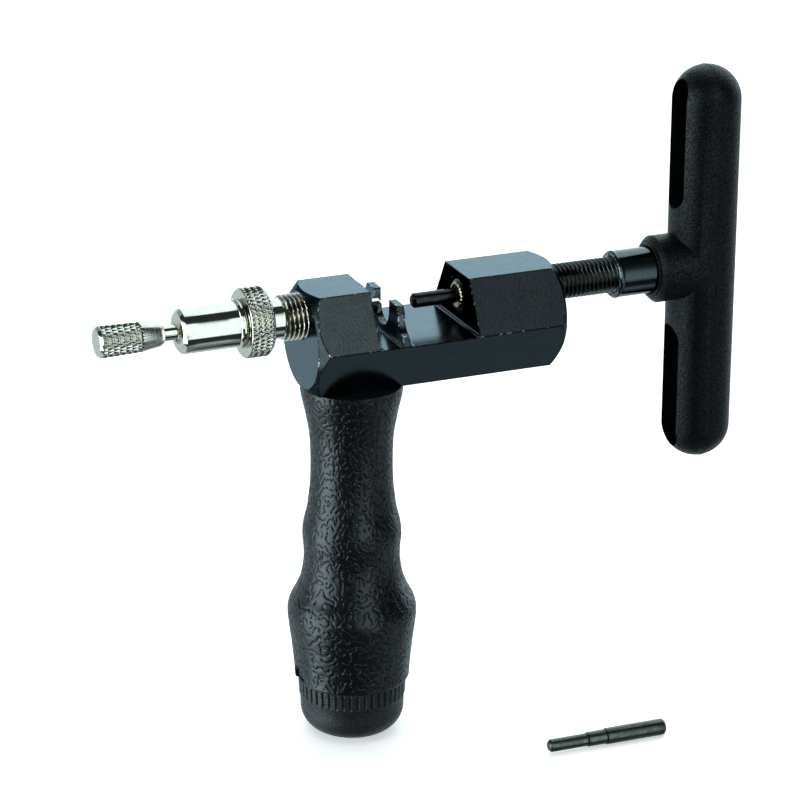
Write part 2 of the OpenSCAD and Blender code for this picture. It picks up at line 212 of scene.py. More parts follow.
def make_piece(name, verts, faces, body, materials, slot_name, *nodes, crease=35, face_material=None):
    """A mesh from vertices in millimetres, which rides on body and stands for the CAD nodes."""
    mesh = bpy.data.meshes.new(name)
    mesh.from_pydata((np.asarray(verts) * MM).tolist(), [], faces)
    bm = bmesh.new()
    bm.from_mesh(mesh)
    bmesh.ops.remove_doubles(bm, verts=bm.verts, dist=1e-7)
    bmesh.ops.recalc_face_normals(bm, faces=bm.faces)
    bm.to_mesh(mesh)
    bm.free()
    return finish_piece(name, mesh, body, materials, slot_name, *nodes, crease=crease,
                        face_material=face_material)


def finish_piece(name, mesh, body, materials, slot_name, *nodes, crease=35, face_material=None,
                 flat_normals=False):
    """Makes the mesh a smooth-shaded piece with its materials, which rides on its body."""
    for m in materials:
        mesh.materials.append(m)
    mesh.polygons.foreach_set("use_smooth", [True] * len(mesh.polygons))
    mesh.set_sharp_from_angle(angle=math.radians(crease))
    if face_material is not None:
        for face in mesh.polygons:
            face.material_index = face_material(face)
    mesh.update()
    piece = bpy.data.objects.new(name, mesh)
    bpy.context.scene.collection.objects.link(piece)
    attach(piece, body)
    if nodes:
        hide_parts(*nodes)
    if flat_normals:
        steady = piece.modifiers.new("flat faces stay flat", "WEIGHTED_NORMAL")
        steady.keep_sharp = True
    return piece


def cad_shape(node, bevel, crease=25, segments=2, skip=None):
    """A copy of a CAD node's mesh with flat faces merged and sharp edges bevelled by up to bevel
    millimetres, but for the edges whose middle the function skip picks out."""
    bm = bmesh.new()
    bm.from_mesh(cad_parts[node].data)
    bmesh.ops.remove_doubles(bm, verts=bm.verts, dist=2e-6)
    for face in bm.faces:
        face.material_index = 0
    bmesh.ops.dissolve_limit(bm, angle_limit=math.radians(0.6), verts=bm.verts, edges=bm.edges)
    sharp = [e for e in bm.edges if len(e.link_faces) == 2
             and e.calc_face_angle(0) > math.radians(crease)
             and not (skip and skip((e.verts[0].co + e.verts[1].co) / 2 / MM))]
    bmesh.ops.bevel(bm, geom=sharp, offset=bevel * MM, segments=segments, profile=0.5,
                    affect="EDGES", clamp_overlap=True)
    mesh = bpy.data.meshes.new(node + "_shape")
    bm.to_mesh(mesh)
    bm.free()
    return mesh


# ---------------------------------------------------------------- materials

class Nodes:
    """A short way to build a node material on object coordinates."""

    def __init__(self, name):
        self.material = bpy.data.materials.new(name)
        self.material.use_nodes = True
        self.tree = self.material.node_tree
        self.bsdf = self.tree.nodes["Principled BSDF"]
        self.place = self.add("ShaderNodeTexCoord").outputs["Object"]

    def add(self, kind, inputs=(), **settings):
        node = self.tree.nodes.new(kind)
        for key, value in settings.items():
            setattr(node, key, value)
        for key, value in dict(inputs).items():
            self.put(node.inputs[key], value)
        return node

    def put(self, socket, value):
        if isinstance(value, bpy.types.NodeSocket):
            self.tree.links.new(value, socket)
        else:
            socket.default_value = value

    def noise(self, size_mm, detail=2.0, stretch=(1, 1, 1), roughness=0.55, distortion=0.0, turn=0.0):
        """Noise with features about size_mm across, leaning by turn degrees about Y."""
        place = self.place
        if turn:
            lean = self.add("ShaderNodeMapping", {"Vector": place, "Rotation": (0, math.radians(turn), 0)})
            place = lean.outputs[0]
        scale = [s / (size_mm * MM) for s in stretch]
        spread = self.add("ShaderNodeMapping", {"Vector": place, "Scale": scale})
        settings = {"Vector": spread.outputs[0], "Scale": 1.0, "Detail": detail, "Roughness": roughness,
                    "Distortion": distortion}
        return self.add("ShaderNodeTexNoise", settings).outputs[0]

    def span(self, value, low, high, to_low=0.0, to_high=1.0):
        """The value's smooth way from low to high, as a number from to_low to to_high."""
        settings = {"Value": value, "From Min": low, "From Max": high, "To Min": to_low, "To Max": to_high}
        return self.add("ShaderNodeMapRange", settings, interpolation_type="SMOOTHSTEP").outputs[0]

    def mix(self, share, a, b):
        node = self.add("ShaderNodeMix", data_type="RGBA")
        self.put(node.inputs[0], share)
        self.put(node.inputs[6], (*a, 1) if isinstance(a, tuple) else a)
        self.put(node.inputs[7], (*b, 1) if isinstance(b, tuple) else b)
        return node.outputs[2]

    def maths(self, operation, a, b=0.0):
        node = self.add("ShaderNodeMath", operation=operation)
        self.put(node.inputs[0], a)
        self.put(node.inputs[1], b)
        return node.outputs[0]

    def bump(self, height, depth_mm, strength=1.0, normal=None):
        """A normal roughened by height, on top of another bump's normal if one is given."""
        settings = {"Height": height, "Distance": depth_mm * MM, "Strength": strength}
        node = self.add("ShaderNodeBump", settings)
        if normal is not None:
            self.put(node.inputs["Normal"], normal)
        return node.outputs[0]

    def edge_share(self, width_mm):
        """1 on sharp edges, falling to 0 at width_mm from them."""
        round_normal = self.add("ShaderNodeBevel", {"Radius": width_mm * MM}, samples=6).outputs[0]
        true_normal = self.add("ShaderNodeNewGeometry").outputs["Normal"]
        alike = self.add("ShaderNodeVectorMath", operation="DOT_PRODUCT")
        self.put(alike.inputs[0], round_normal)
        self.put(alike.inputs[1], true_normal)
        return self.span(alike.outputs["Value"], 0.998, 0.988)

    def attribute(self, name):
        return self.add("ShaderNodeAttribute", attribute_name=name).outputs["Fac"]

    def finish(self, **sockets):
        for name, value in sockets.items():
            name = name.replace("_", " ")
            if isinstance(value, tuple) and len(value) == 3:
                value = (*value, 1)
            self.put(self.bsdf.inputs[name], value)
        return self.material


def black_oxide(name, tone, roughness, grain_mm, grain_depth, lean=0.0, grazing=(0.85, 0.95, 1.0),
                bare_share=0.35):
    """Blackened steel: dark and metallic, with a faint mottle and fine machining marks.
    Its edges are painted near-black as shade, in creases too, with nicks of bare metal along bare_share of
    them."""
    n = Nodes(name)
    mottle = n.noise(3.0, 4)
    fine = n.noise(grain_mm, 3, stretch=(0.3, 1, 1), turn=lean)
    face = n.mix(n.span(mottle, 0.35, 0.7), tone, tuple(0.88 * c for c in tone))
    nick_level = 0.68 - 0.3 * bare_share
    nick = n.span(n.noise(1.1, 5, roughness=0.7), nick_level, nick_level + 0.05)
    # Painted shade: edges and creases go near-black; the bright nicks on them are wear.
    edge = n.mix(nick, (0.006, 0.007, 0.007), (0.42, 0.46, 0.48))
    colour = n.mix(n.edge_share(0.6), face, edge)
    rough = n.span(fine, 0.3, 0.75, roughness * 0.85, roughness * 1.2)
    return n.finish(Base_Color=colour, Metallic=1.0, Roughness=rough, Specular_Tint=grazing,
                    Normal=n.bump(fine, grain_depth))


def worn_edge(name, share, bright=(0.55, 0.60, 0.62)):
    """An edge where the black is chipped off in places; share is how much of it is bare."""
    n = Nodes(name)
    wear = n.noise(0.8, 5, roughness=0.7)
    bare = n.span(wear, 0.72 - 0.45 * share, 0.78 - 0.45 * share)
    colour = n.mix(bare, (0.012, 0.014, 0.016), bright)
    return n.finish(Base_Color=colour, Metallic=n.maths("MULTIPLY", bare, 0.6), Roughness=0.38,
                    Normal=n.bump(n.noise(0.3, 3), 0.04))


def nickel(name, roughness, tone=(0.79, 0.74, 0.65), line_mm=0.09, line_depth=0.0012):
    """Bright nickel plate with faint turning lines and a slightly warm cast in the darks."""
    n = Nodes(name)
    lines = n.noise(line_mm, 2, stretch=(1, 0.02, 0.02))
    haze = n.noise(1.8, 4)
    colour = n.mix(n.span(haze, 0.35, 0.7), tone, (tone[0] * 0.9, tone[1] * 0.9, tone[2] * 0.84))
    rough = n.span(lines, 0.3, 0.7, roughness * 0.7, roughness * 1.4)
    return n.finish(Base_Color=colour, Metallic=1.0, Roughness=rough, Normal=n.bump(lines, line_depth))


def dark_steel(name, tone, roughness, scratch=0.5):
    """Blackened turned steel with fine turning lines and brown-grey rubbed patches."""
    n = Nodes(name)
    lines = n.noise(0.16, 3, stretch=(1, 0.05, 0.05))
    rub = n.noise(1.3, 5, roughness=0.65)
    worn = tuple(c * (1 + 1.3 * scratch) for c in tone)
    colour = n.mix(n.span(rub, 0.45, 0.7), tone, worn)
    rough = n.span(rub, 0.35, 0.7, roughness, roughness * 0.75)
    return n.finish(Base_Color=colour, Metallic=1.0, Roughness=rough, Normal=n.bump(lines, 0.004))


def plastic(name, tone, roughness, grain_mm, grain_depth, shine=0.5, grooved=False, speckle=0.0):
    """Moulded black plastic with a spark-eroded texture, whose grains glint by speckle. A grooved piece
    carries the distance to its nearest groove on its vertices, and gets a crisp floor to each groove."""
    n = Nodes(name)
    grain = n.noise(grain_mm, 3, roughness=0.6)
    normal = n.bump(grain, grain_depth)
    if grooved:
        away = n.maths("ABSOLUTE", n.attribute("groove_distance"))
        cut = n.maths("MULTIPLY", n.span(away, 0.15, 0.03), n.attribute("groove_strength"))
        normal = n.bump(n.maths("SUBTRACT", 1.0, cut), 0.11, normal=normal)
    mottle = n.noise(6.0, 3)
    colour = n.mix(n.span(mottle, 0.3, 0.7), tone, tuple(c * 1.5 for c in tone))
    rough = n.span(grain, 0.3, 0.7, roughness * 1.12, roughness * 0.85)
    glint = n.span(grain, 0.38, 0.66, shine * (1 - 0.6 * speckle), shine * (1 + 1.2 * speckle))
    return n.finish(Base_Color=colour, Roughness=rough, Normal=normal, IOR=1.5, Specular_IOR_Level=glint)


OXIDE = (0.106, 0.126, 0.140)
smooth_oxide = black_oxide("black_oxide_smooth", OXIDE, 0.20, 0.5, 0.003)
left_drawn_oxide = black_oxide("black_oxide_drawn", (0.115, 0.120, 0.117), 0.36, 0.30, 0.055, lean=55)
# The right block's drawn side is a darker copy of the left's: painted shade.
right_drawn_oxide_painted_shade = black_oxide("black_oxide_drawn_painted_shade", (0.062, 0.064, 0.066), 0.36, 0.30, 0.06, lean=55)
# The blocks' inner walls in the pocket get a much darker copy of the oxide: painted shade.
walls_painted_shade_oxide = black_oxide("black_oxide_walls_painted_shade", (0.014, 0.015, 0.012), 0.16, 0.4, 0.003,
                           grazing=(0.34, 0.35, 0.29))
# The end chamfers get a darker copy of the oxide: painted shade.
chamfer_painted_shade_oxide = black_oxide("black_oxide_chamfer_painted_shade", (0.030, 0.035, 0.037), 0.24, 0.3, 0.004,
                            grazing=(0.4, 0.45, 0.47))
plate_oxide = black_oxide("black_oxide_plate", (0.085, 0.100, 0.108), 0.20, 0.5, 0.003, bare_share=0.5)
staked_steel = worn_edge("staked_steel", 0.55)
bright_nickel = nickel("nickel_polished", 0.07)
knurl_nickel = nickel("nickel_knurled", 0.14)
turned_nickel = nickel("nickel_turned", 0.26, line_mm=0.22, line_depth=0.012)
# Darker, browner nickel for the thread roots: painted shade.
shaded_nickel = nickel("nickel_painted_shade_in_grooves", 0.30, (0.20, 0.155, 0.10))
screw_steel = dark_steel("screw_steel", (0.092, 0.096, 0.090), 0.22)
gloss_steel = dark_steel("gloss_black_steel", (0.105, 0.122, 0.130), 0.15, 0.1)
pin_steel = dark_steel("hardened_pin_steel", (0.032, 0.034, 0.031), 0.28, 0.3)
spare_steel = dark_steel("spare_pin_steel", (0.115, 0.120, 0.103), 0.34, 0.4)
plain_steel = dark_steel("plain_steel", (0.45, 0.46, 0.46), 0.30, 0.2)
brass_plate = nickel("bush_plate", 0.18, (0.72, 0.62, 0.42))
handle_plastic = plastic("handle_plastic", (0.0016, 0.002, 0.0022), 0.34, 0.34, 0.12, 0.18, speckle=1.0)
grip_plastic = plastic("grip_plastic", (0.0022, 0.0028, 0.003), 0.30, 0.30, 0.02, grooved=True)
cap_plastic = plastic("cap_plastic", (0.0045, 0.0054, 0.0056), 0.40, 0.42, 0.20, 0.50, speckle=0.4)


# ---------------------------------------------------------------- body

SMOOTH, LEFT_DRAWN, RIGHT_DRAWN_PAINTED_SHADE, WALLS_PAINTED_SHADE, PLATE, CHAMFER = range(6)
ABOVE_FLOOR_Z = -5.3           # just above the cradle's floor
PLATE_HALF = 1.3               # reaches past either face of the tooth plate
END_ZONE = 4                   # how far in the end chamfers may reach


def body_face_material(face):
    """The bar's upper slanting sides are drawn, with the right block's side darker as painted shade; the
    blocks' milled inner walls and the turned end chamfers get darker copies of the oxide as painted shade."""
    n, middle = face.normal, face.center / MM
    near_end = not body_low.x + END_ZONE < middle.x < body_high.x - END_ZONE
    above_floor = middle.z > ABOVE_FLOOR_Z
    # Chamfer faces near the ends take the oxide with painted shade.
    if 0.5 < abs(n.x) < 0.85 and near_end:
        return CHAMFER
    if abs(middle.x) < PLATE_HALF and above_floor:
        return PLATE
    if abs(n.y) > 0.8 and 0.3 < n.z < 0.7 and face.area > 2e-6:
        return LEFT_DRAWN if middle.x < 0 else RIGHT_DRAWN_PAINTED_SHADE
    between_ends = body_low.x + 3 < middle.x < body_high.x - 3
    # Inner walls facing along X take the oxide with painted shade.
    if abs(n.x) > 0.9 and between_ends and above_floor and abs(middle.x) > 3:
        return WALLS_PAINTED_SHADE
    return SMOOTH


def body_piece():
    mesh = cad_shape("body", 0.15)
    materials = [smooth_oxide, left_drawn_oxide, right_drawn_oxide_painted_shade, walls_painted_shade_oxide, plate_oxide, chamfer_painted_shade_oxide]
    finish_piece("hex_body", mesh, "frame", materials, "black_oxide_steel", "body", crease=30,
                 face_material=body_face_material, flat_normals=True)


# ---------------------------------------------------------------- drive screw group

def drive_screw_piece():
    """The threaded screw, bored for the pin's shank and for the bush in its nose."""
    r = screw_high.z
    root_r = r - THREAD_DEPTH
    start, end = screw_low.x, screw_high.x
    thread_end = ferrule_low.x + 0.6
    bore = nut_high.z + SEAT
    outer = refined([(bore, start), (root_r, start), (r, start + 0.5), (r, thread_end)], 0.075)
    tail = rounded([(r, thread_end), (r, end), (0, end)], 0.3)
    seat_x = nut_high.x + SEAT
    shank_bore, shank_end = pin_high.z + RUN, pin_high.x + RUN

    def shape(angle, place, radius):
        fade = ramp(place, start, start + 0.8) * (1 - ramp(place, thread_end - 0.6, thread_end))
        cut = THREAD_DEPTH * (1 - thread(angle, place)) * fade
        return np.where(radius > root_r - 0.01, np.maximum(radius - cut, root_r), radius)

    pocket = [(0, shank_end), (shank_bore, shank_end), (shank_bore, seat_x), (bore, seat_x)]
    verts, faces = lathe(pocket + outer + tail[1:], 80, shape=shape)
    make_piece("drive_screw_rod", verts, faces, "screw", [screw_steel], "black_screw_steel",
               "drive_screw", crease=60)


def drive_pin_piece():
    """The pin's working end, and the thicker shank that the bush keeps inside the screw."""
    shank_r = pin_high.z
    x0, x1 = pin_low.x, pin_high.x
    shoulder = nut_high.x + RUN
    nose = rounded([(0, x0), (0.95, x0), (PIN_R, x0 + 0.55), (PIN_R, shoulder)], 0.35, 5)
    verts, faces = lathe(nose + [(shank_r, shoulder), (shank_r, x1), (0, x1)], 48)
    make_piece("push_pin", verts, faces, "push_pin", [pin_steel], "hardened_pin_steel", "drive_pin",
               crease=50)


def pin_nut_piece():
    """The bright bush in the screw's nose, with a notched rim round its countersunk hole."""
    x0, x1 = nut_low.x, nut_high.x
    r = nut_high.z
    hole, sink, edge = ROD_HOLE_R, 0.85, 0.3
    outline = [(hole, x1), (hole, x0 + sink), (hole + sink, x0), (r - edge, x0), (r, x0 + edge), (r, x1)]
    outline = rounded(outline, 0.1)

    def shape(angle, place, radius):
        notch = 0.16 * np.clip(np.cos(angle * 18) * 2 - 0.8, 0, 1)
        return np.where(radius > r - 0.5, radius - notch * ramp(-place, -x0 - 1.2, -x0 - 0.9), radius)

    verts, faces = lathe(outline, 144, closed=True, shape=shape)
    make_piece("pin_bush", verts, faces, "screw", [brass_plate], "brass_bush", "pin_retaining_nut",
               crease=40)


def ferrule_piece():
    """The gloss black tube, whose mouth is staked unevenly onto the screw."""
    x0, x1 = ferrule_low.x, ferrule_high.x
    lip = ferrule_high.z
    bore = 3.98
    mouth = [(bore, x0 + 0.9), (bore + 0.1, x0 + 0.35), (bore + 0.55, x0 + 0.25), (lip - 0.45, x0)]
    side = [(lip, x0 + 0.45), (lip, x0 + 0.8), (FERRULE_R, x0 + 1.1), (FERRULE_R, x1)]
    outline = rounded([(bore, x1)] + mouth + side, 0.2)
    phases = np.random.default_rng(5).random(6) * TAU

    def shape(angle, place, radius):
        inside = (radius < lip - 0.4) * (place < x0 + 1.2) * (place > x0 + 0.1)
        rough = sum(np.sin(angle * k + phases[i]) / k ** 0.6 for i, k in enumerate((3, 5, 8, 13, 21, 34)))
        return radius + inside * 0.12 * rough

    verts, faces = lathe(refined(outline, 0.4), 144, closed=True, shape=shape)

    def face_material(face):
        radius = math.hypot(face.center.y, face.center.z) / MM
        return 1 if face.center.x / MM < x0 + 1.0 and radius < lip - 0.3 else 0

    make_piece("ferrule", verts, faces, "screw", [gloss_steel, staked_steel], "gloss_black_steel",
               "handle_ferrule", crease=45, face_material=face_material)


def handle_bead():
    """Rounded bead inside the boss's mouth, round the ferrule."""
    x, inner, outer = boss_x0, FERRULE_R + 0.12, 6.0
    outline = [(inner, x + 0.3), (inner, x - 0.2), (5.45, x - 0.4), (5.8, x - 0.4), (outer, x - 0.15),
               (outer, x + 0.3)]
    verts, faces = lathe(rounded(outline, 0.15, 4), 96, closed=True)
    make_piece("t_handle_bead", verts, faces, "screw", [handle_plastic], "handle_plastic")


def handle_parting_line():
    """A thin raised line round the bar in the plane across the screw's axis."""
    radius, half = handle_high.y, handle_high.z - handle_high.y
    x, half_width, height, sunk, steps = handle_high.x - radius, 0.12, 0.07, -0.3, 24
    section = ((-half_width, sunk), (-half_width, height), (half_width, height), (half_width, sunk))
    verts, faces = [], []
    for side in (1, -1):
        for i in range(steps + 1):
            a = math.pi * i / steps
            for dx, out in section:
                r = radius + out
                verts.append((x + dx, side * r * math.cos(a), side * (half + r * math.sin(a))))
    count = 2 * (steps + 1)
    for i in range(count):
        j = (i + 1) % count
        faces += [(4 * i + k, 4 * i + (k + 1) % 4, 4 * j + (k + 1) % 4, 4 * j + k) for k in range(4)]
    make_piece("t_handle_parting_line", verts, faces, "screw", [handle_plastic], "handle_plastic")


def handle_piece():
    """The T-handle on its CAD shape, with its edges rounded but for the crease at the boss."""
    def at_boss(middle):
        return abs(middle.z) < 10 and middle.x > boss_x0 + 1

    mesh = cad_shape("t_handle", 0.2, crease=38, segments=3, skip=at_boss)
    finish_piece("t_handle_moulding", mesh, "screw", [handle_plastic], "handle_plastic", "t_handle",
                 crease=13)
    handle_bead()
    handle_parting_line()


# ---------------------------------------------------------------- adjuster group

def adjuster_piece():
    """The hollow screw with its neck and knurled ring, open for the barrel's spigot."""
    x0, x1 = sleeve_low.x, sleeve_high.x
    ring_r, thread_r, hole = sleeve_high.z, ADJUSTER_THREAD_R, ROD_HOLE_R
    socket_r, socket_end = SPIGOT_R + SEAT, barrel_high.x + SEAT
    edge, bevel, knurl_depth, around = 0.35, 0.8, 0.34, 46
    ring = [(socket_r, x0), (ring_r - edge, x0), (ring_r, x0 + edge), (ring_r, RING_X1 - bevel),
            (ring_r - bevel, RING_X1), (NECK_R, RING_X1), (NECK_R, THREAD_X0), (thread_r, THREAD_X0 + 0.5)]
    ring = rounded(ring, 0.1, 2)
    threaded = refined([(thread_r, THREAD_X0 + 0.5), (thread_r, x1)], 0.1)
    inside = [(thread_r - THREAD_DEPTH, x1), (hole + 0.4, x1), (hole, x1 - 0.4), (hole, socket_end),
              (socket_r, socket_end)]
    outline = refined(ring, KNURL_PITCH / 18) + threaded + inside

    def shape(angle, place, radius):
        rise = ramp(place, x0 + 0.1, x0 + edge)
        fall = ramp(place, RING_X1 - 0.6, RING_X1 - 0.25)
        on_ring = (radius > ring_r - 0.75) * rise * (1 - fall)
        radius = radius - knurl_depth * on_ring * (1 - knurl(angle, place, around, KNURL_PITCH))
        on_thread = (radius > NECK_R + 0.12) * (place > THREAD_X0)
        fade = ramp(place, THREAD_X0, THREAD_X0 + 0.6) * (1 - 0.9 * ramp(place, x1 - 0.5, x1))
        cut = np.maximum(radius - THREAD_DEPTH * (1 - thread(angle, place)) * fade, NECK_R)
        return np.where(on_thread > 0, np.where(fade > 0, cut, radius), radius)

    verts, faces = lathe(outline, around * 8, closed=True, shape=shape)

    def face_material(face):
        place, radius = face.center.x / MM, math.hypot(face.center.y, face.center.z) / MM
        if place > THREAD_X0 + 0.3:
            # The thread's lower flanks and roots take the nickel with painted shade.
            return 2 if NECK_R < radius < thread_r - 0.24 else 0
        return 1 if x0 + 0.2 < place < RING_X1 - 0.4 and radius > ring_r - 0.6 else 0

    make_piece("adjuster_screw", verts, faces, "adjuster", [bright_nickel, knurl_nickel, shaded_nickel],
               "nickel_plate", "adjuster_sleeve", crease=24, face_material=face_material)


def barrel_piece():
    """The spring's barrel: a chamber with a closed outer end, a bead and a spigot into the ring."""
    x0, x1 = barrel_low.x, sleeve_low.x - SEAT
    spigot_end = barrel_high.x
    r, bead, hole, chamber, wall = 4.8, barrel_high.z, ROD_HOLE_R, 3.1, 1.5
    outside = [(hole, x0 + wall), (hole, x0 + 1.1), (hole + 1.0, x0), (r - 0.75, x0), (r, x0 + 0.7),
               (r, x1 - 1.5), (r + 0.15, x1 - 1.42), (bead, x1 - 1.0), (bead, x1 - 0.35), (bead - 0.35, x1)]
    inside = [(SPIGOT_R, x1), (SPIGOT_R, spigot_end), (chamber, spigot_end), (chamber, x0 + wall)]
    verts, faces = lathe(refined(rounded(outside + inside, 0.16, 4), 3), 128, closed=True)
    make_piece("barrel", verts, faces, "adjuster", [bright_nickel], "nickel_plate", "spring_barrel",
               crease=40)


def rod_piece():
    """The locating rod, with the groove that its snap ring sits in."""
    x0, x1 = rod_low.x, rod_high.x
    r = rod_high.z
    groove_r, groove_x0, groove_x1 = r - 0.35, clip_low.x - 0.01, clip_high.x + 0.01
    groove = [(r, groove_x0), (groove_r, groove_x0), (groove_r, groove_x1), (r, groove_x1)]
    outline = [(0, x0), (r, x0), *groove, (r, x1 - 0.5), (r - 0.5, x1), (0, x1)]
    verts, faces = lathe(rounded(outline, 0.12, 3, skip=(2, 3, 4, 5)), 48)
    make_piece("rod", verts, faces, "locator", [bright_nickel], "nickel_plate", "locating_rod", crease=40)


def knob_piece():
    """The knurled knob that is pressed onto the rod, tapering to a turned tail."""
    x0, x1 = knob_low.x, knob_high.x
    head, waist, hole = 3.4, 3.15, 1.62
    knurl_x0, knurl_x1 = x0 + 0.62, -54.4
    hole_end, around = rod_low.x - SEAT, 26
    face = rounded([(0, x0), (2.85, x0), (head, knurl_x0)], 0.1, 2)
    band = refined([(head, knurl_x0), (waist, knurl_x1)], KNURL_PITCH / 18)
    tail = rounded([(waist, knurl_x1), (2.55, x1 - 0.9), (2.1, x1), (hole, x1)], 0.35, 4)
    outline = face[:-1] + band + tail[1:] + [(hole, hole_end), (0, hole_end)]

    def shape(angle, place, radius):
        on = ramp(place, knurl_x0 - 0.02, knurl_x0 + 0.3) * (1 - ramp(place, knurl_x1 - 0.5, knurl_x1))
        low = 1 - knurl(angle, place, around, KNURL_PITCH, 1.3)
        return radius - np.where(radius > 2.2, 0.28 * on * low, 0)

    verts, faces = lathe(outline, around * 12, shape=shape)

    def face_material(face):
        if face.center.x > knurl_x1 * MM:
            return 2
        return 1 if face.center.x > knurl_x0 * MM else 0

    make_piece("knob", verts, faces, "locator", [bright_nickel, knurl_nickel, turned_nickel],
               "nickel_plate", "pull_knob", crease=24, face_material=face_material)


def spring_piece():
    """A helical wire whose end coils lie closer together; the rod's pull squeezes it."""
    x0, x1 = spring_low.x, spring_high.x
    wire, mean, coils = 0.3, 2.4, 11
    steps, around = coils * 36, 10
    t = np.linspace(0, 1, steps + 1)
    squeeze = ramp(t, 0, 0.09) * 0.5 + ramp(t, 0.91, 1) * 0.5
    place = x0 + wire + (x1 - x0 - 2 * wire) * (0.12 * squeeze + 0.88 * t)
    verts, faces = [], []
    for i in range(steps + 1):
        a = t[i] * coils * TAU
        for k in range(around):
            b = k / around * TAU
            r = mean + wire * math.cos(b)
            verts.append((place[i] + wire * math.sin(b), r * math.cos(a), r * math.sin(a)))
    for i in range(steps):
        for k in range(around):
            m = (k + 1) % around
            faces.append((i * around + k, i * around + m, (i + 1) * around + m, (i + 1) * around + k))
    faces.append(tuple(range(around)))
    faces.append(tuple(steps * around + k for k in range(around)))
    piece = make_piece("coil_spring", verts, faces, "spring", [plain_steel], "spring_steel",
                       "locating_spring")
    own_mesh(piece)


# ---------------------------------------------------------------- grip group

GRIP_STATIONS = [(11, 0), (10.85, 2), (10, 6), (9.1, 11.2), (8.83, 17), (9, 23.2), (9.65, 28.6),
                 (10.5, 32.2), (10.7, 34.8), (10.42, 38.2), (10.5, 41), (11.1, 44.6), (12.2, 47.4),
                 (13.45, 49.8), (14, 52), (13.8, 55.2), (13.3, 59), (12.7, 65), (12.5, 67.8)]


def grip_radius(depth):
    """The grip's radius at a depth below its top, on a smooth curve through its stations."""
    stations = np.array(GRIP_STATIONS)
    s = np.vstack([stations[:1], stations, stations[-1:]])
    depth = np.clip(depth, 0, stations[-1, 1])
    i = np.clip(np.searchsorted(stations[:, 1], depth, side="right") - 1, 0, len(stations) - 2)
    p0, p1, p2, p3 = (s[i + k, 0] for k in range(4))
    t = (depth - stations[i, 1]) / (stations[i + 1, 1] - stations[i, 1])
    bend = p0 - 2.5 * p1 + 2 * p2 - p3 / 2
    curl = 1.5 * (p1 - p2) + (p3 - p0) / 2
    return p1 + t * (p2 - p0) / 2 + t * t * bend + t ** 3 * curl


def leather(angle, depth, seed=11):
    """Winding grooves that outline small plateaus, as on leather: the depth in millimetres, the signed
    distance to the nearest groove, and how much of the groove there is."""
    cells = 38
    size = TAU * 11 / cells
    u, v = angle / TAU * cells, depth / size
    u2 = u + 0.45 * wave_noise(u, v, cells, seed)
    v2 = v + 0.45 * wave_noise(u, v, cells, seed + 1)
    field = wave_noise(u2, v2, cells, seed + 2) + 0.2 * wave_noise(u2 * 2, v2 * 2, cells * 2, seed + 3)
    slope_u, slope_v = np.gradient(field)
    step_u = TAU * 11 / angle.shape[0]
    step_v = abs(depth[0, 1] - depth[0, 0])
    slope = np.hypot(slope_u / step_u, slope_v / step_v) + 0.10
    away = np.abs(field) / slope
    groove = 1 - ramp(away, 0.04, 0.27)
    gaps = ramp(wave_noise(u * 2, v * 2, cells * 2, seed + 4), -0.22, -0.02)
    swell = wave_noise(u * 2, v * 2, cells * 2, seed + 5)
    return 0.11 * groove * gaps + 0.03 * swell, field / slope, gaps


SEAMS = (math.radians(-78), math.radians(102))     # where the grip's mould parts


def grip_point(radius, angle, z):
    """Points about the grip's axis."""
    return np.stack([GRIP_X + radius * np.cos(angle), radius * np.sin(angle), z], 1)


def grip_piece():
    """The moulded grip: grooves, two seams, and the prying notch at the left of its lower rim."""
    top, bottom = grip_high.z, grip_low.z
    height = top - bottom
    around, rows = 340, 290
    rim = 0.4
    angle = (np.arange(around) / around * TAU)[:, None] * np.ones((1, rows))
    depth = np.ones((around, 1)) * (np.linspace(0, height - rim, rows))[None, :]
    radius = grip_radius(depth * (GRIP_STATIONS[-1][1] / (height - rim)))
    fade = ramp(depth, 0.0, 0.8) * (1 - ramp(depth, height - rim - 0.7, height - rim))
    groove_depth, groove_distance, groove_strength = leather(angle, depth)
    radius = radius - groove_depth * fade
    for seam in SEAMS:
        across = (np.mod(angle - seam + math.pi, TAU) - math.pi) * radius
        radius = radius - 0.06 * (1 - ramp(np.abs(across), 0.05, 0.3))
    notch_half, notch_rise, notch_depth, rim_r = 2.4, 1.3, 1.1, 12.3
    to_left = np.abs(angle - math.pi) * rim_r
    to_bottom = height - depth
    arch = np.hypot(to_left / notch_half, np.maximum(to_bottom - notch_rise, 0) / notch_half)
    radius = radius - notch_depth * (1 - ramp(arch, 0.88, 1.05))
    verts = []
    for j in range(rows):
        verts.append(grip_point(radius[:, j], angle[:, j], top - depth[:, j]))
    bore = core_high.x - GRIP_X + SEAT
    last = radius[:, -1]
    for r, z in ((last - 0.12, bottom + 0.12), (last - rim, bottom), (np.full(around, bore), bottom),
                 (np.full(around, bore), top)):
        verts.append(grip_point(r, angle[:, 0], np.full(around, z)))
    count = len(verts)
    verts = np.concatenate(verts)
    i = np.arange(around)
    faces = []
    for j in range(count):
        a, b = j * around, ((j + 1) % count) * around
        faces += np.stack([a + i, a + (i + 1) % around, b + (i + 1) % around, b + i], 1).tolist()
    piece = make_piece("grip_moulding", verts, faces, "frame", [grip_plastic], "grip_plastic",
                       "grip_sleeve", crease=70)
    plain = np.zeros(len(verts) - around * rows)
    for name, values in (("groove_distance", groove_distance), ("groove_strength", groove_strength * fade)):
        layer = piece.data.attributes.new(name, "FLOAT", "POINT")
        layer.data.foreach_set("value", np.concatenate([values.T.ravel(), plain]))


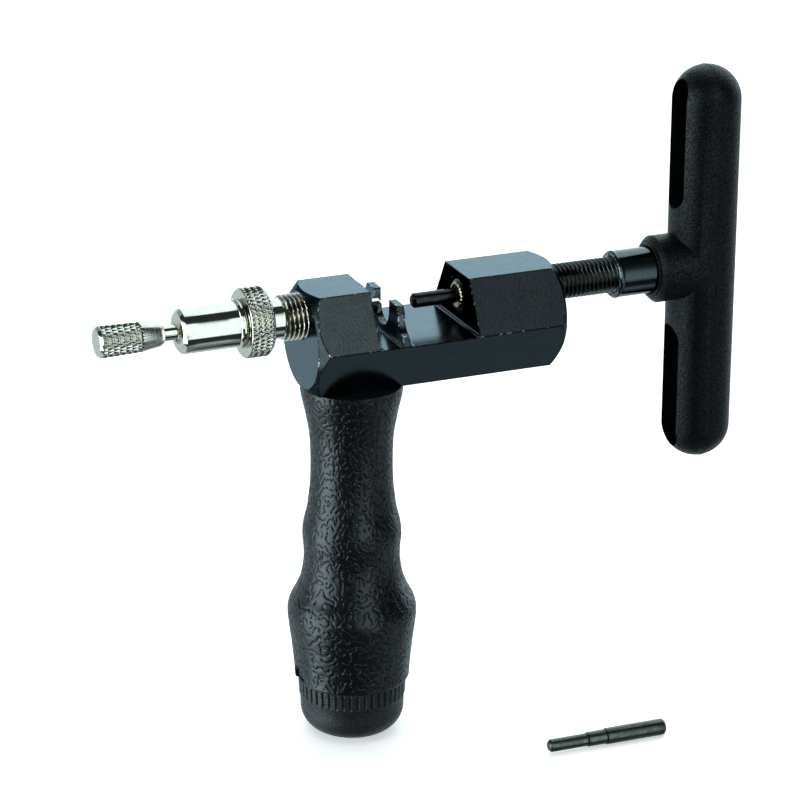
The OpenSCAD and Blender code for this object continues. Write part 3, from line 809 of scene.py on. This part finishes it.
def cap_piece():
    """The pull-off cap: a hollow plug, a ribbed band and a rounded foot."""
    top, bottom, r = grip_low.z - RUN, cap_low.z, 11.8
    plug_top, plug_r, pocket_r, pocket_z = cap_high.z, 6.95, 4.6, 6
    ribs, rib_z = 46, grip_low.z - 4.05
    foot_r, foot_round = 5.8, 5.5
    side = refined([(r, -top + 0.25), (r - 0.2, -rib_z), (r - 0.4, -rib_z + 0.4)], 0.2)
    foot = [(foot_r + foot_round * math.cos(a), -bottom - foot_round + foot_round * math.sin(a))
            for a in np.linspace(0, math.pi / 2, 25)]
    plug = [(0, -top + pocket_z), (pocket_r, -top + pocket_z), (pocket_r, -plug_top),
            (plug_r - 0.4, -plug_top), (plug_r, -plug_top + 0.4), (plug_r, -top), (r - 0.25, -top)]

    def shape(angle, place, radius):
        flute = np.clip(1.25 - np.abs(np.mod(angle / TAU * ribs, 1) - 0.5) / 0.16, 0, 1)
        on = ramp(place, -top + 0.05, -top + 0.4) * (1 - ramp(place, -rib_z - 0.5, -rib_z + 0.3))
        return radius - np.where(radius > 9, 0.34 * flute * on, 0)

    verts, faces = lathe(plug + side + foot + [(0, -bottom)], ribs * 10, shape=shape)
    verts = upright(verts * np.array([-1, 1, 1]))
    make_piece("cap", verts, faces, "cap", [cap_plastic], "cap_plastic", "end_cap", crease=50)


def spare_pin_piece():
    """The loose pin: a tip, a middle and a shank, with a short cone between each two."""
    length, turn = 27.6, math.radians(-1.4)
    tip_r, middle_r, shank_r = 1.4, 1.6, 1.8
    tip_end, middle_end, cone, edge = 8.9, 13.3, 0.35, 0.5
    outline = [(0, 0), (tip_r - edge, 0), (tip_r, 0.55), (tip_r, tip_end), (middle_r, tip_end + cone),
               (middle_r, middle_end), (shank_r, middle_end + cone), (shank_r, length - edge),
               (shank_r - edge, length), (0, length)]
    verts, faces = lathe(refined(rounded(outline, 0.12, 3), 2), 64)
    verts = verts - np.array([length / 2, 0, 0])
    spin = np.array(Matrix.Rotation(turn, 3, "Z"))
    middle = (spare_low + spare_high) / 2
    verts = verts @ spin.T + np.array([middle.x, middle.y, spare_low.z + shank_r])
    make_piece("spare_pin_steel", verts, faces, "loose_pin", [spare_steel], "hardened_pin_steel", "spare_pin",
               crease=40)


def hidden_pieces():
    """Pieces that nothing shows from outside keep their CAD shapes and only get a material."""
    hidden = {"handle_cross_pin": plain_steel, "rod_clip": plain_steel, "spring_washer": plain_steel,
              "grip_core": screw_steel, "grip_bolt": screw_steel, "grip_lock_washer": plain_steel,
              "grip_washer": plain_steel}
    for node, material in hidden.items():
        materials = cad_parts[node].data.materials
        materials.clear()
        materials.append(material)


body_piece()
drive_screw_piece()
drive_pin_piece()
pin_nut_piece()
ferrule_piece()
handle_piece()
adjuster_piece()
barrel_piece()
rod_piece()
knob_piece()
spring_piece()
grip_piece()
cap_piece()
spare_pin_piece()
hidden_pieces()


# ---------------------------------------------------------------- studio

def studio_world():
    """Panels of light all round over a dim room, placed where the photo's reflections ask for them."""
    world = bpy.data.worlds.new("studio")
    bpy.context.scene.world = world
    world.use_nodes = True
    tree = world.node_tree
    links = tree.links
    background = tree.nodes["Background"]

    def maths(operation, a, b=0.0, c=0.0):
        node = tree.nodes.new("ShaderNodeMath")
        node.operation = operation
        for socket, value in zip(node.inputs, (a, b, c)):
            if isinstance(value, bpy.types.NodeSocket):
                links.new(value, socket)
            else:
                socket.default_value = value
        return node.outputs[0]

    direction = tree.nodes.new("ShaderNodeTexCoord").outputs["Generated"]
    parts = tree.nodes.new("ShaderNodeSeparateXYZ")
    links.new(direction, parts.inputs[0])
    x, y, z = parts.outputs
    azimuth = maths("MULTIPLY", maths("ARCTAN2", x, maths("MULTIPLY", y, -1)), 180 / math.pi)
    height = maths("MULTIPLY", maths("ARCSINE", z), 180 / math.pi)

    def edge(value, low, high):
        node = tree.nodes.new("ShaderNodeMapRange")
        node.interpolation_type = "SMOOTHSTEP"
        links.new(value, node.inputs["Value"])
        node.inputs["From Min"].default_value = low
        node.inputs["From Max"].default_value = high
        return node.outputs[0]

    def panel(az, el, strength, soft=6, mirror=False):
        """A soft-edged rectangle of light, given by its azimuths and elevations in degrees."""
        across = maths("ABSOLUTE", azimuth) if mirror else azimuth
        on = 1.0
        if az[0] > -179:
            on = maths("MULTIPLY", on, edge(across, az[0] - soft, az[0] + soft))
        if az[1] < 179:
            on = maths("MULTIPLY", on, edge(across, az[1] + soft, az[1] - soft))
        on = maths("MULTIPLY", on, edge(height, el[0] - soft, el[0] + soft))
        on = maths("MULTIPLY", on, edge(height, el[1] + soft, el[1] - soft))
        return maths("MULTIPLY", on, strength)

    light = None
    for item in PANELS:
        part = panel(**item)
        light = part if light is None else maths("MAXIMUM", light, part)
    light = maths("MAXIMUM", light, ROOM)
    background.inputs["Color"].default_value = (0.80, 1.0, 1.08, 1)
    links.new(light, background.inputs["Strength"])


# Azimuth 0 is the front and grows towards +X, and elevation 90 is straight up
ROOM = 0.03
PANELS = [
    {"az": (98, 180), "el": (-10, 76), "strength": 1.45},
    {"az": (96, 180), "el": (-62, -10), "strength": 0.68},
    {"az": (-180, -90), "el": (-62, 16), "strength": 0.68},
    {"az": (-180, -130), "el": (16, 68), "strength": 0.35},
    {"az": (0, 180), "el": (-90, -58), "strength": 0.2, "mirror": True},
    {"az": (-8, 25), "el": (-10, 48), "strength": 1.5, "soft": 4},
    {"az": (12, 26), "el": (-26, -6), "strength": 1.5, "soft": 3},
    {"az": (30, 60), "el": (-66, -50), "strength": 0.42},
    {"az": (-80, -58), "el": (-8, 14), "strength": 3.0, "soft": 4},
    {"az": (-112, -72), "el": (-36, 24), "strength": 4.4, "soft": 5},
    {"az": (40, 84), "el": (-44, -10), "strength": 0.5},
]


def soft_light(name, location, size, power, target=(0, 0, -30)):
    data = bpy.data.lights.new(name, "AREA")
    data.shape = "RECTANGLE"
    data.size, data.size_y = size
    data.energy = power
    lamp = bpy.data.objects.new(name, data)
    lamp.location = Vector(location) * MM
    aim = Vector(target) * MM - lamp.location
    lamp.rotation_euler = aim.to_track_quat("-Z", "Y").to_euler()
    lamp.visible_glossy = False
    bpy.context.scene.collection.objects.link(lamp)


def studio():
    studio_world()
    soft_light("overhead", (0, 100, 900), (1.4, 1.4), 8.0)
    side = 3.0
    mesh = bpy.data.meshes.new("floor")
    floor_z = cap_low.z * MM - 0.0001
    corners = [(-side, -side, floor_z), (side, -side, floor_z), (side, side, floor_z), (-side, side, floor_z)]
    mesh.from_pydata(corners, [], [(0, 1, 2, 3)])
    n = Nodes("pale_floor")
    shade = n.mix(n.noise(60, 2), (0.94, 0.94, 0.94), (0.96, 0.96, 0.96))
    mesh.materials.append(n.finish(Base_Color=shade, Roughness=0.9, Emission_Color=(1.0, 1.0, 1.0),
                                   Emission_Strength=0.5))
    floor = bpy.data.objects.new("floor", mesh)
    floor.visible_glossy = False
    bpy.context.scene.collection.objects.link(floor)
    view = bpy.context.scene.view_settings
    view.view_transform = "Standard"
    view.look = "None"
    view.exposure = 0
    view.gamma = 1


def camera():
    """The camera stands at the front left, a little above the tool, with a long lens."""
    data = bpy.data.cameras.new("camera")
    data.lens = 153
    data.sensor_width = 36
    data.clip_start = 0.01
    data.clip_end = 20
    eye = bpy.data.objects.new("camera", data)
    right = Vector((0.92323, -0.38422, 0.00352))
    up = Vector((0.13286, 0.32781, 0.93535))
    back = right.cross(up)
    turn = Matrix((right, up, back)).transposed().to_4x4()
    eye.matrix_world = Matrix.Translation(Vector((-258.4, -627.08, 234.91)) * MM) @ turn
    bpy.context.scene.collection.objects.link(eye)
    bpy.context.scene.camera = eye


studio()
camera()
